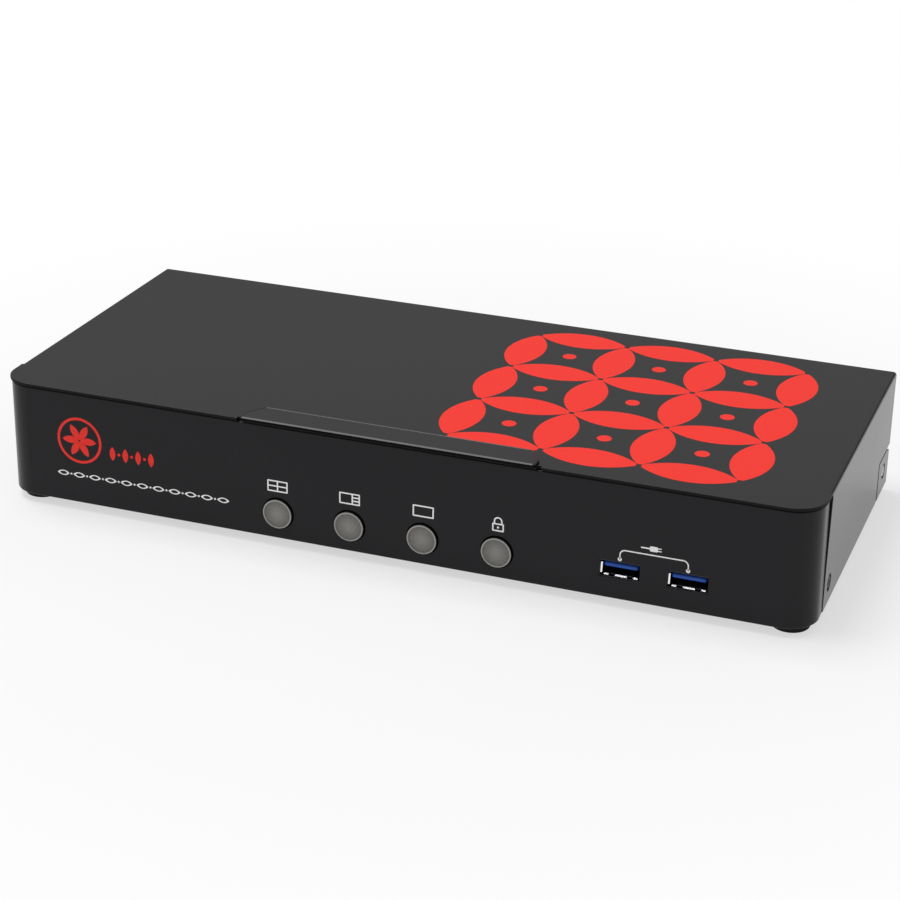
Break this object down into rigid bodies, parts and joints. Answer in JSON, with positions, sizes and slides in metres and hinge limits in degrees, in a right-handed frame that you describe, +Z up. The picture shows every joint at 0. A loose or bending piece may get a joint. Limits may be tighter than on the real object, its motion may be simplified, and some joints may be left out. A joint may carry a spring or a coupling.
{
  "type": "kvm switch",
  "caption": "Low desktop switch box with round push buttons and flat sockets in front, and screen, computer, console, sound and power sockets at the back.",
  "frame": {"origin": "middle of the footprint, visor and rear jacks included, on the plane under the feet", "axes": "+X along the front to the right, +Y from the front to the back, +Z up"},
  "size_m": [0.27, 0.1218, 0.0437],
  "materials": {
    "cover_paint": "satin black powder coat",
    "bezel_plastic": "fine matt black mould texture",
    "base_paint": "matt black paint",
    "visor_plastic": "satin dark grey",
    "rubber": "matt black rubber",
    "cap_plastic": "translucent smoke grey",
    "switch_plastic": "black",
    "board": "green solder mask",
    "lamp": "milky",
    "bright_steel": "zinc-plated",
    "socket_metal": "nickel-plated sheet",
    "socket_blue": "blue moulding",
    "socket_black": "black moulding",
    "standoff_brass": "turned",
    "jack_green": "green moulding",
    "jack_pink": "pink moulding",
    "chip_black": "black epoxy",
    "heatsink_metal": "anodised dark grey",
    "can_metal": "drawn can",
    "white_plastic": "natural white",
    "black_steel": "black zinc"
  },
  "bodies": {
    "case": {"top_cover": "cover_paint", "front_bezel": "bezel_plastic", "base_pan": "base_paint", "rear_panel": "base_paint", "top_visor": "visor_plastic", "rubber_feet": "rubber", "key_switch_1": "switch_plastic", "key_switch_2": "switch_plastic", "key_switch_3": "switch_plastic", "key_switch_4": "switch_plastic", "button_board": "board", "button_lamps": "lamp", "button_board_screws": "bright_steel", "front_usb_shell_1": "socket_metal", "front_usb_shell_2": "socket_metal", "front_usb_insert_1": "socket_blue", "front_usb_insert_2": "socket_blue", "main_board": "board", "board_standoffs": "standoff_brass", "board_screws": "bright_steel", "video_in_shell_1": "socket_metal", "video_in_shell_2": "socket_metal", "video_in_shell_3": "socket_metal", "video_in_shell_4": "socket_metal", "video_out_shell": "socket_metal", "video_inserts": "socket_black", "computer_usb_shell_1": "socket_metal", "computer_usb_shell_2": "socket_metal", "computer_usb_shell_3": "socket_metal", "computer_usb_shell_4": "socket_metal", "computer_usb_inserts": "socket_blue", "console_usb_shell": "socket_metal", "console_usb_insert": "socket_black", "speaker_jack": "jack_green", "microphone_jack": "jack_pink", "power_inlet": "socket_black", "power_pin": "socket_metal", "video_processor": "chip_black", "heatsink": "heatsink_metal", "heatsink_pins": "white_plastic", "receiver_chips": "chip_black", "hub_chips": "chip_black", "capacitors": "can_metal", "coils": "chip_black", "ribbon_cable": "white_plastic", "main_ribbon_socket": "white_plastic", "button_ribbon_socket": "white_plastic", "cover_screws": "black_steel", "panel_screws": "bright_steel", "bezel_screws": "black_steel"},
    "button_1": {"button_cap_1": "cap_plastic", "plunger_1": "switch_plastic"},
    "button_2": {"button_cap_2": "cap_plastic", "plunger_2": "switch_plastic"},
    "button_3": {"button_cap_3": "cap_plastic", "plunger_3": "switch_plastic"},
    "button_4": {"button_cap_4": "cap_plastic", "plunger_4": "switch_plastic"}
  },
  "joints": [
    {"name": "button_1_press", "type": "slide", "parent": "case", "child": "button_1", "axis": [0, 1, 0], "range_m": [0, 0.0005], "stiffness_N_per_m": 1500, "springref_m": -0.0002},
    {"name": "button_2_press", "type": "slide", "parent": "case", "child": "button_2", "axis": [0, 1, 0], "range_m": [0, 0.0005], "stiffness_N_per_m": 1500, "springref_m": -0.0002},
    {"name": "button_3_press", "type": "slide", "parent": "case", "child": "button_3", "axis": [0, 1, 0], "range_m": [0, 0.0005], "stiffness_N_per_m": 1500, "springref_m": -0.0002},
    {"name": "button_4_press", "type": "slide", "parent": "case", "child": "button_4", "axis": [0, 1, 0], "range_m": [0, 0.0005], "stiffness_N_per_m": 1500, "springref_m": -0.0002}
  ]
}
